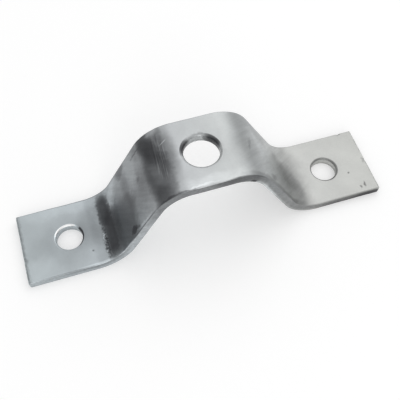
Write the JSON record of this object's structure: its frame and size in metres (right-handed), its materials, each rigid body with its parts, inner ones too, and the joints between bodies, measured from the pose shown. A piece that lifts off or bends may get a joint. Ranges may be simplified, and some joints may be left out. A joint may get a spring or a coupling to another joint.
{
  "type": "threaded rod u-clip",
  "caption": "Hat-shaped flat steel strap: a rod hole in the raised crown and an anchor hole in each foot, for hanging a threaded rod from a flat face.",
  "frame": {"origin": "midway between the two feet, on the mounting face that their undersides lie on", "axes": "+X along the strip, through all three holes; +Y across the strip; +Z away from the mounting face, along the rod hole"},
  "size_m": [0.12, 0.025, 0.033],
  "materials": {
    "zinc_plated_steel": "zinc plated, dull, darker and scuffed over the bends"
  },
  "bodies": {
    "root": {"u_clip_strap": "zinc_plated_steel"}
  },
  "joints": []
}
